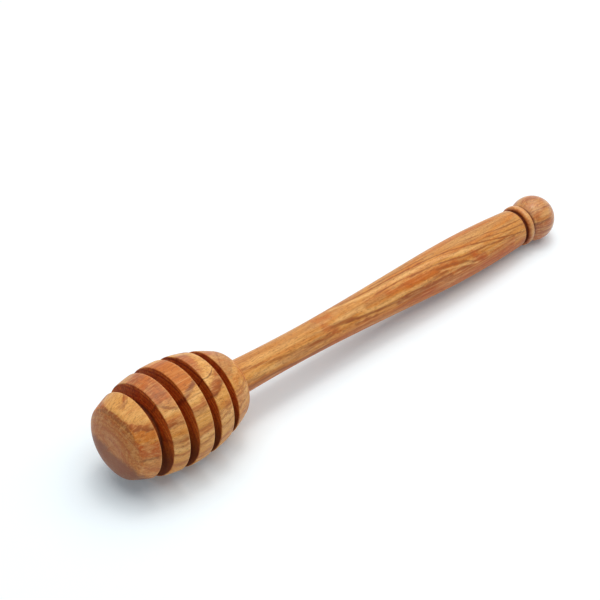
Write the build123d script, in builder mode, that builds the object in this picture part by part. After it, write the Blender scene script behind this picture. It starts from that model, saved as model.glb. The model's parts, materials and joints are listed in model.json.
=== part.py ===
from build123d import *
from math import asin, atan2, cos, hypot, sin, sqrt
import os

# Honey dipper turned from olive wood: a grooved, egg-shaped head glued onto the tenon of its handle.
# It lies on a table at Z = 0 and rests on its belly and its knob, with the tip towards -X.
# Sizes are in millimetres. Every place along the dipper is measured from the tip of the head.

# Whole dipper
overall_length = 150.0
overrun = 2.0

# Head: two arcs that meet at the belly, a nearly flat tip and a shoulder that turns in to the handle
head_length = 37.4
belly_radius = 12.5
belly_place = 17.9
tip_flat_radius = 3.8
tip_bulge = 2.0
tip_rim_radius = 9.06
tip_rounding = 1.6
shoulder_length = 2.2
shoulder_radius = 8.07
shoulder_rounding = 4.5
head_end_radius = 4.6
head_end_rounding = 0.8

# Honey grooves, evenly spaced and turned a little narrower from the tip to the shoulder
groove_count = 4
first_groove_place = 7.8
last_groove_setback = 6.7
first_groove_width = 2.8
last_groove_width = 2.0
core_radius = 7.0
floor_rounding = 0.5
ring_rounding = 0.3

# Glued joint between the head and the handle
tenon_radius = 3.4
tenon_length = 20.0
tenon_chamfer = 0.6
glue_gap = 0.1
glue_pocket = 1.0

# Handle: a neck that flares at the head, a long swelling, a bead between two narrow grooves
# and a ball knob.
# The swelling is set back from the handle's end, and its rise from the swelling.
neck_root_radius = 4.3
neck_radius = 3.95
neck_length = 18.0
rise_setback = 15.5
rise_radius = 5.35
swell_setback = 20.8
swell_radius = 5.75
handle_end_radius = 5.0
handle_end_rounding = 0.6
cove_width = 1.0
waist_radius = 4.2
waist_rounding = 0.3
bead_width = 2.0
bead_radius = 5.45
bead_rounding = 0.75
knob_line_width = 0.4
knob_radius = 6.0

# Places that follow from the sizes
knob_centre = overall_length - knob_radius
knob_start = knob_centre - sqrt(knob_radius**2 - waist_radius**2)
bead_end = knob_start - knob_line_width
bead_start = bead_end - bead_width
handle_end = bead_start - cove_width
swell_place = handle_end - swell_setback
rise_place = swell_place - rise_setback
neck_end = head_length + neck_length
tenon_start = head_length - tenon_length
bore_radius = tenon_radius + glue_gap
bore_end = tenon_start - glue_pocket
shoulder_place = head_length - shoulder_length
front_middle = (tip_bulge + belly_place) / 2


def arc_radius(run, rise):
    """Radius of an arc that starts level and has climbed or dropped by rise after run."""
    return (run**2 + rise**2) / (rise + rise)


front_curve = arc_radius(belly_place - tip_bulge, belly_radius - tip_rim_radius)
rear_curve = arc_radius(shoulder_place - belly_place, belly_radius - shoulder_radius)
tip_curve = arc_radius(tip_rim_radius - tip_flat_radius, tip_bulge)


def belly(place):
    """Radius of the head's outer arcs at a place along the dipper."""
    curve = front_curve if place < belly_place else rear_curve
    return belly_radius - curve + sqrt(curve**2 - (place - belly_place)**2)


# Lying pose: the table touches the rear belly arc and the ball knob
reach = knob_centre - belly_place
belly_drop = rear_curve - belly_radius
tilt = asin((rear_curve - knob_radius) / hypot(reach, belly_drop)) - atan2(belly_drop, reach)
tip_height = knob_radius + knob_centre * sin(tilt)
front_reach = tip_curve - tip_curve * cos(tilt) + tip_flat_radius * sin(tilt)
rear_reach = knob_centre * cos(tilt) + knob_radius
tip_point = ((front_reach - rear_reach) / 2, 0, tip_height)
dipper_direction = (cos(tilt), 0, -sin(tilt))
dipper_plane = Plane(origin=tip_point, x_dir=dipper_direction, z_dir=(0, -1, 0))
dipper_axis = Axis(tip_point, dipper_direction)

# The tenon's outline is shared by the handle and the glue around it
tenon_outline = [
    (tenon_start, 0),
    (tenon_start, tenon_radius - tenon_chamfer),
    (tenon_start + tenon_chamfer, tenon_radius),
    (head_length, tenon_radius),
]

# Grooves as pairs of place and width
groove_steps = max(groove_count - 1, 1)
groove_pitch = (shoulder_place - last_groove_setback - first_groove_place) / groove_steps
groove_narrowing = (first_groove_width - last_groove_width) / groove_steps
grooves = [
    (first_groove_place + number * groove_pitch, first_groove_width - number * groove_narrowing)
    for number in range(groove_count)
]
groove_sides = [place + side * width / 2 for place, width in grooves for side in (-1, 1)]
groove_height = belly_radius - core_radius + overrun
bead_corners = [(bead_start, bead_radius), (bead_end, bead_radius)]


def corners(profile, places):
    """The profile's corners nearest to the given places."""
    return [profile.vertices().sort_by_distance(place)[0] for place in places]


# Head
with BuildPart() as honey_head:
    with BuildSketch(dipper_plane) as head_profile:
        with BuildLine():
            Polyline((bore_end, 0), (0, 0), (0, tip_flat_radius))
            TangentArc((0, tip_flat_radius), (tip_bulge, tip_rim_radius), tangent=(0, 1))
            ThreePointArc(
                (tip_bulge, tip_rim_radius),
                (front_middle, belly(front_middle)),
                (belly_place, belly_radius),
            )
            TangentArc((belly_place, belly_radius), (shoulder_place, shoulder_radius), tangent=(1, 0))
            Polyline(
                (shoulder_place, shoulder_radius),
                (head_length, head_end_radius),
                (head_length, bore_radius),
                (bore_end, bore_radius),
                (bore_end, 0),
            )
        make_face()
        for place, width in grooves:
            with Locations((place, core_radius + groove_height / 2)):
                Rectangle(width, groove_height, mode=Mode.SUBTRACT)
        fillet(corners(head_profile, [(tip_bulge, tip_rim_radius)]), tip_rounding)
        fillet(corners(head_profile, [(shoulder_place, shoulder_radius)]), shoulder_rounding)
        fillet(corners(head_profile, [(head_length, head_end_radius)]), head_end_rounding)
        fillet(corners(head_profile, [(side, belly(side)) for side in groove_sides]), ring_rounding)
        fillet(corners(head_profile, [(side, core_radius) for side in groove_sides]), floor_rounding)
    revolve(axis=dipper_axis)
honey_head.part.label = "honey_head"

# Handle with its tenon, bead and ball knob, turned in one piece
with BuildPart() as handle:
    with BuildSketch(dipper_plane) as handle_profile:
        with BuildLine():
            Polyline(*tenon_outline, (head_length, neck_root_radius))
            TangentArc((neck_end, neck_radius), (head_length, neck_root_radius), tangent=(-1, 0))
            Spline(
                (neck_end, neck_radius),
                (rise_place, rise_radius),
                (swell_place, swell_radius),
                tangents=((1, 0), (1, 0)),
            )
            TangentArc((swell_place, swell_radius), (handle_end, handle_end_radius), tangent=(1, 0))
            Polyline(
                (handle_end, handle_end_radius),
                (handle_end, waist_radius),
                (bead_start, waist_radius),
                (bead_start, bead_radius),
                (bead_end, bead_radius),
                (bead_end, waist_radius),
                (knob_start, waist_radius),
            )
            ThreePointArc((knob_start, waist_radius), (knob_centre, knob_radius), (overall_length, 0))
            Line((overall_length, 0), (tenon_start, 0))
        make_face()
        fillet(corners(handle_profile, [(handle_end, handle_end_radius)]), handle_end_rounding)
        fillet(corners(handle_profile, [(bead_start, waist_radius)]), waist_rounding)
        fillet(corners(handle_profile, bead_corners), bead_rounding)
    revolve(axis=dipper_axis)
handle.part.label = "handle"

# Glue that fills the gap round the tenon and the pocket at its end
with BuildPart() as glue_film:
    with BuildSketch(dipper_plane):
        with BuildLine():
            Polyline(
                *tenon_outline,
                (head_length, bore_radius),
                (bore_end, bore_radius),
                (bore_end, 0),
                close=True,
            )
        make_face()
    revolve(axis=dipper_axis)
glue_film.part.label = "glue_film"

os.makedirs("parts", exist_ok=True)
for piece in (honey_head, handle, glue_film):
    export_step(piece.part, f"parts/{piece.part.label}.step")
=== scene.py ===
import bpy
import json
from math import asin, atan2, cos, degrees, hypot, pi, radians, sin, sqrt
from mathutils import Matrix, Vector


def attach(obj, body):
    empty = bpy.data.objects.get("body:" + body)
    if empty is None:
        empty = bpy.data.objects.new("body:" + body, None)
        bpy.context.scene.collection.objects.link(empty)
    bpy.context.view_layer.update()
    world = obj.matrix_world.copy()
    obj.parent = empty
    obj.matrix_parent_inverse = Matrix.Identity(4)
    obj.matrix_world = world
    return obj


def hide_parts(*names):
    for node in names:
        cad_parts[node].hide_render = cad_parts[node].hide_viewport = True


# Looks of a honey dipper turned from olive wood. The head and the handle are finely turned meshes that
# stand for their solids. Their sizes are in millimetres, and places along the dipper start at its tip.

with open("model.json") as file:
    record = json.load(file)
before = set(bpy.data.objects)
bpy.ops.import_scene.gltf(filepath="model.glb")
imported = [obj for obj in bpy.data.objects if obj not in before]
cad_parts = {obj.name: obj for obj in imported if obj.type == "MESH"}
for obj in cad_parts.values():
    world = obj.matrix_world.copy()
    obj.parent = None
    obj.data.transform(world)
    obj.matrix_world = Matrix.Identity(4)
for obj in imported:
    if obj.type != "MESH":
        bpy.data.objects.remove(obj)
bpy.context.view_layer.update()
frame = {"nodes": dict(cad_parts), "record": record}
scene = bpy.context.scene
millimetre = 0.001

# Whole dipper
overall_length = 150.0

# Head
head_length = 37.4
belly_radius = 12.5
belly_place = 17.9
tip_flat_radius = 3.8
tip_bulge = 2.0
tip_rim_radius = 9.06
tip_rounding = 1.6
shoulder_length = 2.2
shoulder_radius = 8.07
shoulder_rounding = 4.5
head_end_radius = 4.6
head_end_rounding = 0.8

# Honey grooves
groove_count = 4
first_groove_place = 7.8
last_groove_setback = 6.7
first_groove_width = 2.8
last_groove_width = 2.0
core_radius = 7.0
floor_rounding = 0.5
ring_rounding = 0.25
# Depth over which the painted shade of the grooves comes in
groove_shade_reach = 0.3
# Reach of the pale edges, a painted highlight and wear
pale_edge_reach = 0.55
# Reach of the painted shade in the corners at the grooves' feet
corner_shade_reach = 1.1

# Glued joint
tenon_radius = 3.4
tenon_length = 20.0
tenon_chamfer = 0.6
glue_gap = 0.1
glue_pocket = 1.0

# Handle
neck_root_radius = 4.3
neck_radius = 3.95
neck_length = 18.0
rise_setback = 15.5
rise_radius = 5.35
swell_setback = 20.8
swell_radius = 5.75
handle_end_radius = 5.0
handle_end_rounding = 0.6
cove_width = 1.0
waist_radius = 4.2
waist_rounding = 0.3
bead_width = 2.0
bead_radius = 5.45
bead_rounding = 0.75
knob_line_width = 0.4
knob_radius = 6.0

# Fineness of the turned meshes: steps along their outlines in millimetres, and counts of steps
profile_step = 0.3
hidden_step = 2.0
fewest_steps = 2
fewest_arc_steps = 4
rounding_steps = 6
turn_steps = 224

# Places that follow from the sizes
knob_centre = overall_length - knob_radius
knob_start = knob_centre - sqrt(knob_radius**2 - waist_radius**2)
bead_end = knob_start - knob_line_width
bead_start = bead_end - bead_width
handle_end = bead_start - cove_width
swell_place = handle_end - swell_setback
rise_place = swell_place - rise_setback
neck_end = head_length + neck_length
tenon_start = head_length - tenon_length
bore_radius = tenon_radius + glue_gap
bore_end = tenon_start - glue_pocket
shoulder_place = head_length - shoulder_length

# Grooves as pairs of place and width
groove_steps = max(groove_count - 1, 1)
groove_pitch = (shoulder_place - last_groove_setback - first_groove_place) / groove_steps
groove_narrowing = (first_groove_width - last_groove_width) / groove_steps
grooves = [
    (first_groove_place + number * groove_pitch, first_groove_width - number * groove_narrowing)
    for number in range(groove_count)
]


def arc_radius(run, rise):
    """Radius of an arc that starts level and has climbed or dropped by rise after run."""
    return (run**2 + rise**2) / (rise + rise)


front_curve = arc_radius(belly_place - tip_bulge, belly_radius - tip_rim_radius)
rear_curve = arc_radius(shoulder_place - belly_place, belly_radius - shoulder_radius)
tip_curve = arc_radius(tip_rim_radius - tip_flat_radius, tip_bulge)
end_curve = arc_radius(handle_end - swell_place, swell_radius - handle_end_radius)
neck_curve = arc_radius(neck_length, neck_root_radius - neck_radius)


def belly(place):
    """Radius of the head's outer arcs at a place along the dipper."""
    curve = front_curve if place < belly_place else rear_curve
    return belly_radius - curve + sqrt(curve**2 - (place - belly_place)**2)


def gentle(share):
    """The same share, but with a level start and end."""
    return share**2 * (3 - 2 * share)


def neck(place):
    """Radius of the neck, which flares towards the head."""
    return neck_radius + neck_curve - sqrt(neck_curve**2 - (neck_end - place)**2)


def swelling(place):
    """Radius of the handle from the neck's end to its own end, through the rise and the swelling."""
    if place > swell_place:
        return swell_radius - end_curve + sqrt(end_curve**2 - (place - swell_place)**2)
    run, rise = rise_place - neck_end, rise_radius - neck_radius
    last_run, last_rise = swell_place - rise_place, swell_radius - rise_radius
    slope = 3 * (rise / run**2 + last_rise / last_run**2) / (2 / run + 2 / last_run)
    if place < rise_place:
        share = (place - neck_end) / run
        return neck_radius + rise * gentle(share) - run * slope * share**2 * (1 - share)
    share = (place - rise_place) / last_run
    return rise_radius + last_rise * gentle(share) + last_run * slope * share * (1 - share)**2


# Profiles: stretches of points, and a rounding for each corner between two stretches
def line(start, end, step=profile_step):
    """Points along a straight stretch."""
    count = max(int(hypot(end[0] - start[0], end[1] - start[1]) / step), fewest_steps)
    shares = [number / count for number in range(count + 1)]
    return [tuple(a + (b - a) * share for a, b in zip(start, end)) for share in shares]


def outer(radius_at, start, end):
    """Points along an outer surface whose radius is a function of the place."""
    count = max(int((end - start) / profile_step), fewest_steps)
    places = [start + (end - start) * number / count for number in range(count + 1)]
    return [(place, radius_at(place)) for place in places]


def arc(centre, radius, start_angle, end_angle):
    """Points along an arc, with angles from the direction of the tip, turning outwards."""
    count = max(int(radius * abs(end_angle - start_angle) / profile_step), fewest_arc_steps)
    angles = [start_angle + (end_angle - start_angle) * number / count for number in range(count + 1)]
    return [(centre[0] - radius * cos(angle), centre[1] + radius * sin(angle)) for angle in angles]


def rounded(before, after, radius):
    """Both stretches cut back from their shared corner, and the points of the rounding between them."""
    corner = Vector(before[-1])
    arriving = (corner - Vector(before[-2])).normalized()
    leaving = (Vector(after[1]) - corner).normalized()
    half_turn = arriving.angle(leaving) / 2
    cut = radius * sin(half_turn) / cos(half_turn)
    before = [point for point in before if (Vector(point) - corner).length > cut]
    after = [point for point in after if (Vector(point) - corner).length > cut]
    start, end = corner - arriving * cut, corner + leaving * cut
    weight = cos(half_turn)
    points = []
    for number in range(rounding_steps + 1):
        share = number / rounding_steps
        shares = ((1 - share)**2, 2 * weight * share * (1 - share), share**2)
        point = (start * shares[0] + corner * shares[1] + end * shares[2]) / sum(shares)
        points.append(tuple(point))
    return before, points, after


def joined(stretches, roundings):
    """One outline from stretches that meet end to end, with a rounding radius for each meeting."""
    outline = []
    current = stretches[0]
    for following, radius in zip(stretches[1:], roundings):
        if radius > 0:
            current, points, following = rounded(current, following, radius)
            outline += current + points
        else:
            outline += current[:-1]
        current = following
    return outline + current


def head_outline():
    """Closed outline of the head from the tip round its rings and back through the bore."""
    rim_angle = asin((tip_rim_radius - tip_flat_radius) / tip_curve)
    stretches = [
        line((0, 0), (0, tip_flat_radius)),
        arc((tip_curve, tip_flat_radius), tip_curve, 0, rim_angle),
    ]
    roundings = [0, tip_rounding]
    place = tip_bulge
    for centre, width in grooves:
        front, rear = centre - width / 2, centre + width / 2
        stretches.append(outer(belly, place, front))
        stretches.append(line((front, belly(front)), (front, core_radius)))
        stretches.append(line((front, core_radius), (rear, core_radius)))
        stretches.append(line((rear, core_radius), (rear, belly(rear))))
        roundings += [ring_rounding, floor_rounding, floor_rounding, ring_rounding]
        place = rear
    stretches += [
        outer(belly, place, shoulder_place),
        line((shoulder_place, shoulder_radius), (head_length, head_end_radius)),
        line((head_length, head_end_radius), (head_length, bore_radius)),
        line((head_length, bore_radius), (bore_end, bore_radius), hidden_step),
        line((bore_end, bore_radius), (bore_end, 0)),
    ]
    roundings += [shoulder_rounding, head_end_rounding, 0, 0]
    return joined(stretches, roundings)


def handle_outline():
    """Closed outline of the handle from the tenon's end to the ball knob."""
    knob_angle = atan2(waist_radius, knob_centre - knob_start)
    chamfer_place = tenon_start + tenon_chamfer
    stretches = [
        line((tenon_start, 0), (tenon_start, tenon_radius - tenon_chamfer)),
        line((tenon_start, tenon_radius - tenon_chamfer), (chamfer_place, tenon_radius)),
        line((chamfer_place, tenon_radius), (head_length, tenon_radius), hidden_step),
        line((head_length, tenon_radius), (head_length, neck_root_radius)),
        outer(neck, head_length, neck_end),
        outer(swelling, neck_end, handle_end),
        line((handle_end, handle_end_radius), (handle_end, waist_radius)),
        line((handle_end, waist_radius), (bead_start, waist_radius)),
        line((bead_start, waist_radius), (bead_start, bead_radius)),
        line((bead_start, bead_radius), (bead_end, bead_radius)),
        line((bead_end, bead_radius), (bead_end, waist_radius)),
        line((bead_end, waist_radius), (knob_start, waist_radius)),
        arc((knob_centre, 0), knob_radius, knob_angle, pi),
    ]
    roundings = [0, 0, 0, 0, 0, handle_end_rounding, 0, waist_rounding]
    roundings += [bead_rounding, bead_rounding, 0, 0]
    return joined(stretches, roundings)


# Turned meshes, in the dipper's own directions: x along the dipper, z up and y away from the camera
tip_mount = next(mount for mount in frame["record"]["mounts"] if mount["name"] == "tip_face")
tip_point = Vector(tip_mount["pos_m"])
reach = knob_centre - belly_place
belly_drop = rear_curve - belly_radius
tilt = asin((rear_curve - knob_radius) / hypot(reach, belly_drop)) - atan2(belly_drop, reach)
lying = Matrix.Translation(tip_point) @ Matrix.Rotation(tilt, 4, "Y")


def turned(name, outline, marks):
    """A closed mesh turned from an outline, with a value per point for each named mark."""
    inner = [point for point in outline if point[1] > 0]
    first, last = outline[0], outline[-1]
    vertices = [(first[0] * millimetre, 0, 0)]
    for place, radius in inner:
        for number in range(turn_steps):
            angle = 2 * pi * number / turn_steps
            width, height = radius * sin(angle), radius * cos(angle)
            vertices.append((place * millimetre, width * millimetre, height * millimetre))
    vertices.append((last[0] * millimetre, 0, 0))
    end = len(vertices) - 1
    faces = []
    for number in range(turn_steps):
        following = (number + 1) % turn_steps
        faces.append((0, 1 + following, 1 + number))
        for ring in range(len(inner) - 1):
            row = 1 + ring * turn_steps
            next_row = row + turn_steps
            faces.append((row + number, row + following, next_row + following, next_row + number))
        row = 1 + (len(inner) - 1) * turn_steps
        faces.append((row + number, row + following, end))
    mesh = bpy.data.meshes.new(name)
    mesh.from_pydata(vertices, [], faces)
    for mark, value_at in marks.items():
        values = [value_at(*first)]
        for point in inner:
            values += [value_at(*point)] * turn_steps
        values.append(value_at(*last))
        mesh.attributes.new(mark, "FLOAT", "POINT").data.foreach_set("value", values)
    mesh.transform(lying)
    mesh.shade_smooth()
    mesh.update()
    piece = bpy.data.objects.new(name, mesh)
    scene.collection.objects.link(piece)
    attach(piece, "root")
    return piece


def faded(distance, reach_length):
    """A share that falls from 1 to 0 over a length."""
    return gentle(min(max(1 - distance / reach_length, 0), 1))


def head_depth(place, radius):
    """How far a point of the head lies under its outer surface."""
    if place < tip_bulge or place > shoulder_place:
        return 0
    return max(belly(place) - radius, 0)


def head_groove_shade(place, radius):
    """How strongly a point carries the painted shade of the grooves."""
    return 1 - faded(head_depth(place, radius), groove_shade_reach)


def ring_pale_edge(place, radius):
    """How near a point lies to the front edge of a groove, which is painted pale: a painted highlight, and
    wear.
    """
    fronts = [centre - width / 2 for centre, width in grooves]
    nearest = min(hypot(place - front, radius - belly(front)) for front in fronts)
    return faded(nearest, pale_edge_reach)


def groove_corner_shade(place, radius):
    """How near a point lies to the foot of a groove's rear wall, whose corner carries painted shade."""
    nearest = min(hypot(place - centre - width / 2, radius - core_radius) for centre, width in grooves)
    return faded(nearest, corner_shade_reach)


def bead_corner_shade(place, radius):
    """How near a point lies to the floors beside the bead, whose corners carry painted shade."""
    nearest = min(abs(place - bead_start), max(place - knob_start, bead_end - place, 0))
    return faded(hypot(nearest, radius - waist_radius), corner_shade_reach)


def bead_groove_shade(place, radius):
    """How strongly a point lies in one of the two narrow grooves beside the bead, which carry painted shade.
    """
    if place < handle_end or place > knob_start + knob_line_width:
        return 0
    return 1 - faded(bead_radius - radius, bead_radius - waist_radius)


def handle_pale_edge(place, radius):
    """How near a point lies to the bead's crest or to the handle's end, which are painted pale: a painted
    highlight, and wear.
    """
    crest = max(abs(place - (bead_start + bead_end) / 2) - bead_width / 2 + bead_rounding, 0)
    bead_share = faded(hypot(crest, bead_radius - radius), pale_edge_reach)
    end_share = faded(hypot(place - handle_end, radius - handle_end_radius), pale_edge_reach)
    return max(bead_share, end_share)


# Material nodes. A node that mixes colours has its share and its two colours at these inputs, and its
# result at this output. Noise has one cell per unit of its vector.
mix_inputs = (0, 6, 7)
mix_output = 2
cells_per_unit = 1.0


class Number:
    """A number in a material, which adds and multiplies like a plain one."""

    def __init__(self, web, socket):
        self.web = web
        self.socket = socket

    def __add__(self, other):
        return self.web.calc("ADD", self, other)

    def __sub__(self, other):
        return self.web.calc("SUBTRACT", self, other)

    def __rsub__(self, other):
        return self.web.calc("SUBTRACT", other, self)

    def __mul__(self, other):
        return self.web.calc("MULTIPLY", self, other)


class Web:
    """The nodes of one material or world, with helpers that add and join them."""

    def __init__(self, owner, shader="Principled BSDF"):
        owner.use_nodes = True
        self.tree = owner.node_tree
        self.shader = self.tree.nodes[shader]

    def put(self, socket, value):
        """Sets a socket, or joins it to another node's output."""
        if isinstance(value, Number):
            value = value.socket
        if isinstance(value, bpy.types.NodeSocket):
            self.tree.links.new(value, socket)
        else:
            socket.default_value = value

    def shade(self, name, value):
        """Sets or joins an input of the shader."""
        self.put(self.shader.inputs[name], value)

    def node(self, kind, inputs=(), **settings):
        """A node with its settings and its inputs, given as pairs of a name or number and a value."""
        made = self.tree.nodes.new(kind)
        for setting, value in settings.items():
            setattr(made, setting, value)
        for socket, value in inputs:
            self.put(made.inputs[socket], value)
        return made

    def number(self, made, output=0):
        """A node's output as a number."""
        return Number(self, made.outputs[output])

    def calc(self, operation, *values):
        """Result of one sum on numbers."""
        return self.number(self.node("ShaderNodeMath", list(enumerate(values)), operation=operation))

    def vector(self, x, y, z):
        """A vector from three numbers."""
        return self.node("ShaderNodeCombineXYZ", [(0, x), (1, y), (2, z)]).outputs[0]

    def share(self, value, low, high, kind="SMOOTHSTEP"):
        """How far a value has gone from low to high, as a share from 0 to 1 that is smooth by default."""
        inputs = [("Value", value), ("From Min", low), ("From Max", high)]
        return self.number(self.node("ShaderNodeMapRange", inputs, interpolation_type=kind))

    def noise(self, vector, octaves, roughness):
        """Cloudy noise round 0, about half up and half down."""
        inputs = [("Vector", vector), ("Scale", cells_per_unit), ("Detail", octaves)]
        inputs.append(("Roughness", roughness))
        return self.number(self.node("ShaderNodeTexNoise", inputs)) - noise_middle

    def mark(self, name):
        """A mark that the mesh carries at each point."""
        return self.number(self.node("ShaderNodeAttribute", attribute_name=name), "Fac")

    def relief(self, height, strength):
        """Fine relief of the surface, worked out from a height."""
        inputs = [("Height", height), ("Strength", strength), ("Distance", relief_depth)]
        self.shade("Normal", self.node("ShaderNodeBump", inputs).outputs[0])

    def blend(self, share, first, second, how="MIX"):
        """Two colours mixed or multiplied by a share."""
        made = self.node("ShaderNodeMix", data_type="RGBA", blend_type=how)
        for number, value in zip(mix_inputs, (share, first, second)):
            self.put(made.inputs[number], value)
        return made.outputs[mix_output]

    def ramp(self, value, stops):
        """Colours along a value, given as pairs of a value and a colour."""
        low, high = stops[0][0], stops[-1][0]
        made = self.node("ShaderNodeValToRGB", [(0, self.share(value, low, high, "LINEAR"))])
        elements = made.color_ramp.elements
        elements.remove(elements[0])
        elements[0].position = 0
        elements[0].color = stops[0][1]
        for place, tone in stops[1:]:
            elements.new((place - low) / (high - low)).color = tone
        return made.outputs[0]

    def curve(self, value, points, lowest, highest):
        """A smooth curve through pairs of a value and a level between lowest and highest."""
        low, high = points[0][0], points[-1][0]
        made = self.node("ShaderNodeFloatCurve", [("Value", self.share(value, low, high, "LINEAR"))])
        line_points = made.mapping.curves[0].points
        while len(line_points) < len(points):
            line_points.new(0, 0)
        for target, (place, level) in zip(line_points, points):
            target.location = ((place - low) / (high - low), (level - lowest) / (highest - lowest))
        made.mapping.update()
        return self.number(made) * (highest - lowest) + lowest


# How light follows from a screen's level: in proportion up to a dim level, and as a power beyond it
full_level = 255
dim_level = 0.04045
dim_factor = 12.92
screen_power = 2.4
screen_offset = 0.055
opaque = 1.0


def colour(red, green, blue):
    """The light of a colour that is given as its screen levels from 0 to 255."""
    light = []
    for value in (red, green, blue):
        level = value / full_level
        if level > dim_level:
            light.append(((level + screen_offset) / (1 + screen_offset))**screen_power)
        else:
            light.append(level / dim_factor)
    return (*light, opaque)


# Tones of the wood
cream_tan = colour(235, 178, 108)
pale_tan = colour(224, 159, 82)
tan = colour(214, 144, 64)
straw = colour(199, 140, 77)
honey = colour(208, 128, 49)
amber = colour(202, 112, 37)
orange = colour(197, 99, 28)
red_orange = colour(184, 80, 22)
red_brown = colour(153, 66, 26)
soft_brown = colour(180, 102, 47)
pink_brown = colour(190, 110, 60)
brown = colour(150, 77, 32)
dark_brown = colour(108, 52, 22)
purple_brown = colour(128, 68, 44)
mauve = colour(114, 72, 56)
# Painted shade of the grooves: a tint that darkens the wood there, and the darkest shade
groove_shade_tint = colour(240, 168, 96)
groove_shade_dark = colour(66, 22, 6)
glue_pale = colour(208, 186, 140)
glue_deep = colour(188, 160, 112)

# Noises, with their cells per millimetre along and across the dipper, their octaves and roughness
head_wave = (0.2, 0.2, 2.0, 0.5)
handle_wave = (0.05, 0.12, 2.0, 0.5)
ragged_edge = (0.5, 1.6, 3.0, 0.6)
band = (0.03, 0.75, 2.0, 0.6)
grain = (0.09, 2.2, 3.0, 0.6)
mottle = (0.9, 1.9, 3.0, 0.7)
fleck = (0.7, 3.6, 3.0, 0.6)
pore = (1.0, 5.5, 1.0, 0.5)
tool_mark = (0.5, 3.0, 3.0, 0.7)
glue_cloud = (1.0, 1.0, 2.0, 0.5)

# How far the growth layers wander, in millimetres, how ragged streaks and patches are, and over which
# lengths they fade
head_wander = 0.7
handle_wander = 3.0
raggedness = 2.4
patch_raggedness_share = 0.2
patch_fade = 0.4
layer_fade = 0.08
layer_raggedness_share = 0.1
streak_fade = 1.6
streak_core_share = 0.25
streak_rim_share = 1.25

# How strongly each part of the figure shows
band_dark_share = 0.4
band_pale_share = 0.4
grain_dark_share = 0.5
grain_pale_share = 0.45
mottle_share = 0.45
fleck_share = 0.45
pore_share = 0.5
# Pale edges: a painted highlight, and wear
pale_edge_share = 0.4
# Painted shade in the grooves
groove_shade_share = 0.95
# Painted shade at the feet of the grooves
corner_shade_share = 0.95
end_grain_share = 0.3
tool_mark_share = 0.8
# Painted shade towards the grooves' undersides
groove_underside_shade_share = 0.75

# Levels of noise between which each part of the figure comes in
noise_middle = 0.5
band_levels = (0.0, 0.18)
grain_levels = (0.0, 0.25)
mottle_levels = (0.0, 0.22)
fleck_levels = (0.04, 0.24)
pore_levels = (0.1, 0.24)
tool_mark_levels = (0.02, 0.25)

# Finish. The polish of the ball knob comes in between two places along the dipper.
wood_shine = 0.22
wood_roughness = 0.44
grain_roughness = 0.2
groove_roughness = 0.25
grain_relief = 0.6
relief_strength = 0.3
polish_start = 132.0
polish_end = 141.0
polish_share = 0.55
polish_roughness = 0.24
glue_roughness = 0.5
glue_relief_strength = 0.2

# Depth of the fine relief, in metres
relief_depth = 0.00006

# Growth layers of the head: how far outside the main dark layer, and the colour there. The layers
# curve round the heart of the tree, which lies under the axis, and bend towards both ends.
heart_height = -4.0
bend_place = 20.5
main_layer_distance = 15.24
front_bend = 0.0079
rear_bend = 0.0139
head_layers = [
    (-12.0, tan),
    (-8.4, tan),
    (-6.4, pale_tan),
    (-5.5, soft_brown),
    (-5.0, pale_tan),
    (-3.9, tan),
    (-3.3, soft_brown),
    (-2.9, tan),
    (-2.4, pale_tan),
    (-2.12, soft_brown),
    (-1.95, pale_tan),
    (-1.6, cream_tan),
    (-1.42, soft_brown),
    (-1.28, pale_tan),
    (-1.12, soft_brown),
    (-0.95, tan),
    (-0.7, tan),
    (-0.25, pale_tan),
    (-0.14, brown),
    (-0.04, brown),
    (0.1, soft_brown),
    (0.26, pink_brown),
    (0.36, pale_tan),
    (0.6, cream_tan),
    (0.8, pale_tan),
    (0.95, honey),
    (1.3, amber),
    (1.9, honey),
]

# Patches of the head: first and last place, lowest and highest layer, colour and its share
head_patches = [
    (1.8, 6.6, -6.0, -2.1, pink_brown, 0.6),
    (1.8, 6.6, -2.0, -0.8, red_orange, 0.85),
    (1.8, 6.6, -0.75, -0.15, amber, 0.85),
    (-1.0, 6.6, 0.18, 4.0, pale_tan, 0.85),
    (-1.0, 1.5, -9.0, -1.8, soft_brown, 0.6),
    (-1.0, 1.5, -1.8, 0.15, brown, 0.6),
    (-1.0, 1.5, -0.7, -0.2, dark_brown, 0.6),
    (9.0, 27.8, 0.8, 4.0, soft_brown, 0.25),
    # This mauve patch dims the tops of the middle rings: painted shade
    (9.0, 27.8, 0.8, 4.0, mauve, 0.12),
    (9.0, 13.4, 0.8, 1.8, pink_brown, 0.8),
    (10.2, 10.6, 0.7, 1.8, purple_brown, 0.35),
    (12.0, 12.2, 0.7, 1.8, purple_brown, 0.3),
    (9.0, 13.4, -0.75, -0.15, amber, 0.5),
    (15.8, 20.8, 0.85, 1.6, amber, 0.6),
    (22.6, 27.8, 0.0, 0.4, brown, 0.4),
    (22.6, 25.4, 0.8, 1.6, pink_brown, 0.9),
    (25.4, 27.8, 0.6, 1.6, pale_tan, 0.7),
    (29.4, 34.6, -0.3, 1.8, straw, 0.8),
]

# Heights between which painted shade darkens the grooves towards the underside
groove_underside_shade_start = 5.0
groove_underside_shade_end = -5.0

# Mauve in the lower half of the tip: darker wood round the heart, and painted shade on the half that faces
# the floor.
# The height of its border climbs away from the camera, sinks along the head and wanders.
dark_wood_and_shade_height = 0.3
dark_wood_and_shade_slope = 0.15
dark_wood_and_shade_sinking = 1.1
dark_wood_and_shade_wander = 3.0
dark_wood_and_shade_fade = 2.0
dark_wood_and_shade_share = 0.8

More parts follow.
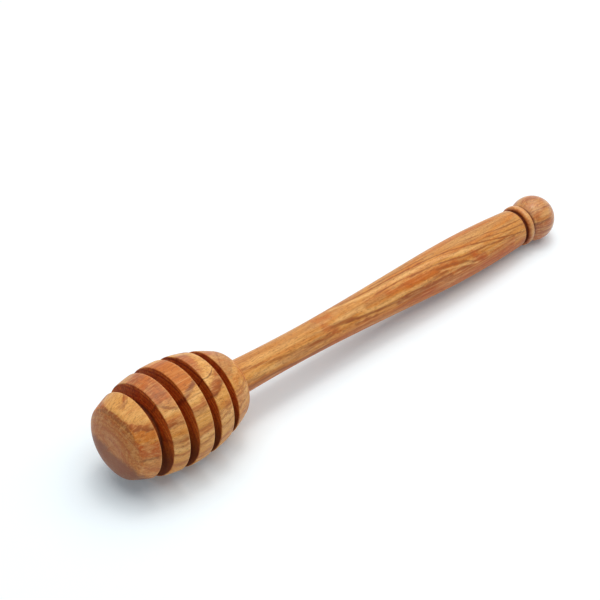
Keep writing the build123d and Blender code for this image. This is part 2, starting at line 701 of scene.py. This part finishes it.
# Streaks: the line they follow as pairs of a place and a turn in degrees from the top towards the
# camera's side, then half their width, their colour and its share
head_streaks = [
    ([(4.0, 1), (5.0, -4), (6.4, -11)], 0.9, soft_brown, 0.75),
    ([(4.0, 2), (4.8, -3), (6.2, -13)], 0.35, brown, 0.75),
    ([(4.9, 2), (6.4, -7)], 0.3, brown, 0.7),
    ([(2.5, 87), (6.4, 86)], 0.35, dark_brown, 0.6),
    ([(9.0, -36), (13.4, -42)], 2.0, straw, 0.75),
    ([(9.0, -15), (13.4, -26)], 0.9, red_brown, 0.6),
    ([(9.0, -5), (13.4, -9)], 0.9, orange, 0.7),
    ([(9.2, 8), (13.4, 3)], 0.5, red_brown, 0.4),
    ([(9.2, 17), (13.4, 20)], 0.7, purple_brown, 0.35),
    ([(9.0, 26), (11.0, 36), (13.4, 41)], 0.5, purple_brown, 0.65),
    ([(9.2, 74), (13.4, 75)], 0.7, brown, 0.6),
    ([(15.8, -40), (20.8, -44)], 1.8, straw, 0.6),
    ([(15.8, -17), (20.8, -20)], 0.6, brown, 0.6),
    ([(15.8, 37), (18.0, 31), (20.8, 24)], 0.8, purple_brown, 0.9),
    ([(22.8, 27), (25.0, 26), (27.6, 17)], 0.25, dark_brown, 0.75),
    ([(22.8, 49), (25.0, 46), (27.6, 37)], 0.3, dark_brown, 0.5),
    ([(22.8, -16), (25.0, -18)], 1.2, brown, 0.5),
    ([(29.6, 22), (31.5, 5), (33.5, -14)], 0.5, brown, 0.6),
    ([(29.6, -8), (31.5, -12)], 1.3, pink_brown, 0.8),
    ([(31.0, 48), (34.5, 36)], 1.1, amber, 0.6),
    ([(29.6, 68), (33.0, 72)], 0.6, pink_brown, 0.6),
]

# Layers of the handle: the height across its nearly flat layers, and the colour there
handle_layers = [
    (-7.0, amber),
    (-5.0, brown),
    (-4.2, honey),
    (-3.0, amber),
    (-1.2, soft_brown),
    (-0.7, brown),
    (0.4, honey),
    (1.1, pale_tan),
    (1.9, honey),
    (2.4, pale_tan),
    (3.0, honey),
    (3.6, straw),
    (4.2, tan),
    (4.7, straw),
    (5.0, honey),
    (5.5, straw),
    (6.2, tan),
]

# Streaks of the handle, given like those of the head. The first five are broad tints.
handle_streaks = [
    ([(66, 98), (90, 100), (134, 102)], 2.4, orange, 0.55),
    ([(97, 84), (108, 90), (118, 88), (130, 88)], 2.2, red_orange, 0.7),
    ([(119, 44), (134, 50)], 1.6, pale_tan, 0.35),
    ([(38, -10), (58, -8), (80, -12)], 2.4, soft_brown, 0.4),
    ([(39, 40), (58, 44)], 2.2, pale_tan, 0.7),
    ([(38, 29), (43, 40), (48, 51), (53, 60), (60, 62), (67, 61)], 0.55, brown, 0.65),
    ([(48, 68), (54, 72), (60, 72), (66, 70)], 0.8, red_brown, 0.6),
    ([(41, 62), (45, 66), (49, 72)], 0.6, cream_tan, 0.5),
    ([(38, 72), (43, 80)], 0.5, brown, 0.6),
    ([(64.5, 36), (66, 50), (67.5, 66)], 1.7, red_orange, 0.6),
    ([(64, -8), (68, 6)], 1.3, orange, 0.6),
    ([(69, 38), (73, 36), (77, 42)], 0.9, cream_tan, 0.6),
    ([(67, 46), (71, 51), (74, 57)], 0.55, brown, 0.8),
    ([(71, 55), (76, 62), (82, 68), (88, 70), (93, 67), (101, 62)], 0.35, brown, 0.9),
    ([(74, 76), (80, 82)], 0.4, red_brown, 0.6),
    ([(88, 77), (94, 76), (100, 74), (106, 76)], 0.8, red_brown, 0.8),
    ([(79, 26), (86, 31)], 0.8, soft_brown, 0.5),
    ([(83, 21), (90, 20), (96, 25)], 0.25, brown, 0.8),
    (
        [
            (72, -18), (78, -9), (84, -5), (92, -1), (100, 4), (107, 12), (113, 23), (118, 33),
            (123, 43), (129, 56), (135, 67),
        ],
        0.22, brown, 0.9,
    ),
    ([(84, -18), (92, -14), (98, -9), (105, -4)], 0.25, brown, 0.7),
    ([(96, 3), (99, 4)], 0.4, red_brown, 0.6),
    (
        [
            (70, -16), (74, -8), (79, 3), (84, 9), (92, 12), (98, 17), (104, 19), (109, 28),
            (114, 37), (119, 44),
        ],
        0.55, cream_tan, 0.9,
    ),
    ([(78, 52), (84, 58), (90, 58)], 0.7, cream_tan, 0.5),
    ([(86, 37), (91, 41), (97, 44)], 0.9, orange, 0.7),
    ([(92, 41), (98, 44), (104, 48), (109, 55)], 1.6, orange, 0.85),
    (
        [(95, 26), (98, 27), (103, 31), (108, 39), (113, 47), (120, 50), (125, 56), (131, 64)],
        0.28, brown, 0.85,
    ),
    ([(101, 60), (105, 60)], 0.5, red_brown, 0.7),
    ([(103, 44), (108, 51), (112, 60), (115, 72)], 0.4, brown, 0.75),
    ([(109, 70), (113, 78)], 0.9, red_brown, 0.6),
    ([(104, 53), (108, 60), (112, 68), (116, 78)], 0.3, cream_tan, 0.7),
    ([(115.5, 54), (117, 66), (119, 78)], 1.6, red_orange, 0.85),
    ([(112, 4), (120, 16), (127, 26), (136, 30)], 0.22, brown, 0.7),
    ([(122, 30), (128, 40), (136, 46)], 0.22, brown, 0.7),
    ([(118, -10), (127, -4), (135, 2)], 0.22, brown, 0.5),
    ([(127, 70), (133, 76)], 0.8, pink_brown, 0.6),
    ([(142, -14), (145, -4)], 0.9, red_brown, 0.6),
    ([(140.5, 45), (142.5, 45)], 0.6, orange, 0.7),
    ([(141, 29), (144, 34), (147, 33)], 0.3, brown, 0.8),
    ([(140.4, 68), (144.6, 66)], 0.4, dark_brown, 0.7),
    ([(140.4, 84), (145, 80)], 1.3, red_brown, 0.7),
]

# Patches of the handle, given like those of the head: the bead, browner below, and the ball knob
handle_patches = [
    (137.2, 139.4, -8.0, 3.2, red_brown, 0.55),
    (137.2, 139.4, 3.2, 8.0, orange, 0.5),
    (139.8, 151.0, -8.0, 8.0, soft_brown, 0.42),
]

# Turns that the lines of the streaks stay between
lowest_turn = -90.0
highest_turn = 180.0


class Body:
    """Places on the dipper as numbers in a material, in millimetres and degrees."""

    def __init__(self, web):
        self.web = web
        coordinates = web.node("ShaderNodeTexCoord").outputs["Object"]
        inputs = [("Vector", coordinates), ("Location", tip_point), ("Rotation", (0, tilt, 0))]
        mapping = web.node("ShaderNodeMapping", inputs, vector_type="TEXTURE")
        mapping.inputs["Scale"].default_value = (millimetre, millimetre, millimetre)
        axes = web.node("ShaderNodeSeparateXYZ", [(0, mapping.outputs[0])])
        self.place, self.across, self.height = (web.number(axes, axis) for axis in range(3))
        self.turn = web.calc("ARCTAN2", self.across * -1, self.height) * degrees(1)
        self.radius = web.calc("SQRT", self.across * self.across + self.height * self.height)

    def noise(self, along, across, octaves, roughness):
        """Noise round 0 with its own cells along and across the dipper."""
        vector = self.web.vector(self.place * along, self.across * across, self.height * across)
        return self.web.noise(vector, octaves, roughness)


def head_value(body):
    """How far a point lies outside the head's main dark layer."""
    web = body.web
    raised = body.height - heart_height
    distance = web.calc("SQRT", body.across * body.across + raised * raised)
    run = body.place - bend_place
    before, after = web.calc("MINIMUM", run, 0), web.calc("MAXIMUM", run, 0)
    wave = body.noise(*head_wave) * head_wander
    return distance - main_layer_distance + before * before * front_bend + after * after * rear_bend + wave


def handle_value(body):
    """Height across the handle's layers, which wander slowly along it."""
    return body.height + body.noise(*handle_wave) * handle_wander


def streak(body, ripple, points, half_width):
    """How strongly a point lies in a streak that follows a line along the surface."""
    web = body.web
    middle = web.curve(body.place, points, lowest_turn, highest_turn)
    apart = web.calc("ABSOLUTE", (body.turn - middle) * body.radius * radians(1))
    core, rim = half_width * streak_core_share, half_width * streak_rim_share
    near = 1 - web.share(apart + ripple * half_width, core, rim)
    begun = web.share(body.place, points[0][0] - streak_fade, points[0][0])
    ended = web.share(body.place, points[-1][0], points[-1][0] + streak_fade)
    return near * begun * (1 - ended)


def patch(body, value, ripple, first, last, low, high):
    """How strongly a point lies in a patch between two places and two layers."""
    web = body.web
    ragged = value + ripple * patch_raggedness_share
    begun = web.share(body.place, first - patch_fade, first)
    ended = web.share(body.place, last, last + patch_fade)
    above = web.share(ragged, low - layer_fade, low + layer_fade)
    beyond = web.share(ragged, high - layer_fade, high + layer_fade)
    return begun * (1 - ended) * above * (1 - beyond)


def wood(name, layers, value_at, patches, streaks):
    """Oiled olive wood whose coloured layers run along the dipper."""
    material = bpy.data.materials.new(name)
    web = Web(material)
    body = Body(web)
    value = value_at(body)
    ripple = body.noise(*ragged_edge) * raggedness
    figure = web.ramp(value + ripple * layer_raggedness_share, layers)

    # Patches and streaks, with ragged edges
    for *spread, tone, tone_share in patches:
        figure = web.blend(patch(body, value, ripple, *spread) * tone_share, figure, tone)
    for points, half_width, tone, tone_share in streaks:
        figure = web.blend(streak(body, ripple, points, half_width) * tone_share, figure, tone)

    # Soft bands and fine lines along the grain, a mottle between them and short flecks
    bands = body.noise(*band)
    figure = web.blend(web.share(bands, *band_levels) * band_dark_share, figure, orange)
    figure = web.blend(web.share(bands * -1, *band_levels) * band_pale_share, figure, cream_tan)
    lines = body.noise(*grain)
    mottled = web.share(body.noise(*mottle), *mottle_levels)
    flecked = web.share(body.noise(*fleck), *fleck_levels)
    figure = web.blend(web.share(lines, *grain_levels) * grain_dark_share, figure, brown)
    figure = web.blend(web.share(lines * -1, *grain_levels) * grain_pale_share, figure, cream_tan)
    figure = web.blend(mottled * mottle_share, figure, red_brown)
    figure = web.blend(flecked * fleck_share, figure, brown)

    # End grain at the tip, which drinks more oil, and the mauve below its middle: darker wood and painted
    # shade
    level = body.height - body.across * dark_wood_and_shade_slope + body.place * dark_wood_and_shade_sinking + ripple
    level = level + body.noise(*head_wave) * dark_wood_and_shade_wander
    dark_wood_and_shade = web.share(level, dark_wood_and_shade_height, dark_wood_and_shade_height - dark_wood_and_shade_fade)
    figure = web.blend(dark_wood_and_shade * dark_wood_and_shade_share, figure, mauve)
    end_grain = web.share(body.place, tip_bulge, 0)
    figure = web.blend(end_grain * end_grain_share, figure, red_brown)

    # Pale edges, painted as a highlight and as wear, and painted shade in the grooves, darker with depth and
    # with dark tool marks
    groove_shade = web.mark("groove_shade")
    # Pale edges: a painted highlight, and wear
    figure = web.blend(web.mark("pale_edge") * pale_edge_share, figure, cream_tan)
    figure = web.blend(groove_shade * groove_shade_share, figure, groove_shade_tint, "MULTIPLY")
    tool_marks = web.share(body.noise(*tool_mark), *tool_mark_levels) * groove_shade
    figure = web.blend(tool_marks * tool_mark_share, figure, groove_shade_dark)
    # Painted shade in the corners at the feet of the grooves
    figure = web.blend(web.mark("corner_shade") * corner_shade_share, figure, groove_shade_dark)
    # Painted shade in the lower half of the grooves
    groove_underside_shade = web.share(body.height, groove_underside_shade_start, groove_underside_shade_end) * groove_shade
    figure = web.blend(groove_underside_shade * groove_underside_shade_share, figure, groove_shade_dark)

    # Pores: short dark dashes along the grain
    pores = web.share(body.noise(*pore), *pore_levels)
    figure = web.blend(pores * pore_share, figure, dark_brown)
    web.shade("Base Color", figure)

    # Satin finish, duller in the grooves and polished at the ball knob
    web.shade("Specular IOR Level", wood_shine)
    web.shade("Roughness", lines * grain_roughness + groove_shade * groove_roughness + wood_roughness)
    polish = web.share(body.place, polish_start, polish_end) * (1 - groove_shade)
    web.shade("Coat Weight", polish * polish_share)
    web.shade("Coat Roughness", polish_roughness)
    web.relief(lines * grain_relief - pores, relief_strength)
    return material


def glue():
    """Cured wood glue."""
    material = bpy.data.materials.new("cured_glue")
    web = Web(material)
    cloud = Body(web).noise(*glue_cloud)
    web.shade("Base Color", web.blend(cloud + noise_middle, glue_pale, glue_deep))
    web.shade("Roughness", cloud * grain_roughness + glue_roughness)
    web.relief(cloud, glue_relief_strength)
    return material


# Pieces
head = turned("turned_head", head_outline(), {"groove_shade": head_groove_shade, "corner_shade": groove_corner_shade, "pale_edge": ring_pale_edge})
head.data.materials.append(wood("olive_head", head_layers, head_value, head_patches, head_streaks))
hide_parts("honey_head")
handle_marks = {"groove_shade": bead_groove_shade, "corner_shade": bead_corner_shade, "pale_edge": handle_pale_edge}
grip = turned("turned_handle", handle_outline(), handle_marks)
grip.data.materials.append(wood("olive_handle", handle_layers, handle_value, handle_patches, handle_streaks))
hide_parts("handle")
frame["nodes"]["glue_film"].data.materials.clear()
frame["nodes"]["glue_film"].data.materials.append(glue())


def seen(web):
    """Whether a ray comes from the camera, from a reflection or through glass."""
    paths = web.node("ShaderNodeLightPath")
    either = web.calc("MAXIMUM", web.number(paths, "Is Camera Ray"), web.number(paths, "Is Glossy Ray"))
    return web.calc("MAXIMUM", either, web.number(paths, "Is Transmission Ray"))


# White floor that keeps the dipper's shadow. Its distances from the dipper's middle are in metres.
floor_reach = 1.5
shadow_reach = 0.15
white_reach = 0.4
floor_roughness = 0.9
floor_glow = 0.07
floor_tone = colour(243, 249, 255)
white = colour(255, 255, 255)


def floor_paint():
    """White floor, which looks plain white away from the dipper."""
    material = bpy.data.materials.new("white_floor")
    web = Web(material)
    place = web.node("ShaderNodeTexCoord").outputs["Object"]
    distance = web.number(web.node("ShaderNodeVectorMath", [(0, place)], operation="LENGTH"), "Value")
    visible = seen(web)
    far = web.share(distance, shadow_reach, white_reach) * visible
    web.shade("Base Color", floor_tone)
    web.shade("Roughness", floor_roughness)
    web.shade("Specular IOR Level", 0)
    web.shade("Emission Color", white)
    web.shade("Emission Strength", visible * floor_glow)
    plain_white = web.node("ShaderNodeEmission", [("Color", white)])
    inputs = [(0, far), (1, web.shader.outputs[0]), (2, plain_white.outputs[0])]
    mixed = web.node("ShaderNodeMixShader", inputs)
    web.put(web.tree.nodes["Material Output"].inputs["Surface"], mixed.outputs[0])
    return material


bpy.ops.mesh.primitive_plane_add(size=2 * floor_reach)
floor = bpy.context.object
floor.name = "floor"
floor.data.materials.append(floor_paint())

# Soft light: one wide lamp overhead, set back towards the knob, a small one that gives the soft
# highlights, and pale surroundings. Places and widths of the lamps are in metres, and powers in watts.
lamp_place = (0.16, 0.0, 0.88)
lamp_width = 1.25
lamp_power = 8.7
small_lamp_place = (0.16, 0.09, 0.95)
small_lamp_width = 0.25
small_lamp_power = 1.2
lamp_tint = (1.0, 0.965, 0.90)
sky_tint = (0.72, 0.90, 1.0, opaque)
sky_strength = 0.4


def add_lamp(name, place, width, power):
    """A square lamp that shines towards the middle of the dipper."""
    data = bpy.data.lights.new(name, "AREA")
    data.size = width
    data.energy = power
    data.color = lamp_tint
    lamp = bpy.data.objects.new(name, data)
    lamp.location = place
    lamp.rotation_euler = (-Vector(place)).to_track_quat("-Z", "Y").to_euler()
    scene.collection.objects.link(lamp)


add_lamp("overhead", lamp_place, lamp_width, lamp_power)
add_lamp("highlight", small_lamp_place, small_lamp_width, small_lamp_power)
world = bpy.data.worlds.new("surroundings")
scene.world = world
sky = Web(world, "Background")
visible_sky = seen(sky)
sky.shade("Color", sky.blend(visible_sky, sky_tint, white))
sky.shade("Strength", visible_sky * (1 - sky_strength) + sky_strength)

# Camera: place and aim in millimetres, and lens
camera_place = (-268.85, -263.78, 302.81)
camera_aim = (5.29, 22.31, 0)
camera_lens = 117.0
sensor_width = 36.0
camera_data = bpy.data.cameras.new("camera")
camera_data.lens = camera_lens
camera_data.sensor_width = sensor_width
camera = bpy.data.objects.new("camera", camera_data)
camera.location = Vector(camera_place) * millimetre
view_direction = Vector(camera_aim) - Vector(camera_place)
camera.rotation_euler = view_direction.to_track_quat("-Z", "Y").to_euler()
scene.collection.objects.link(camera)
scene.camera = camera
scene.view_settings.view_transform = "Standard"
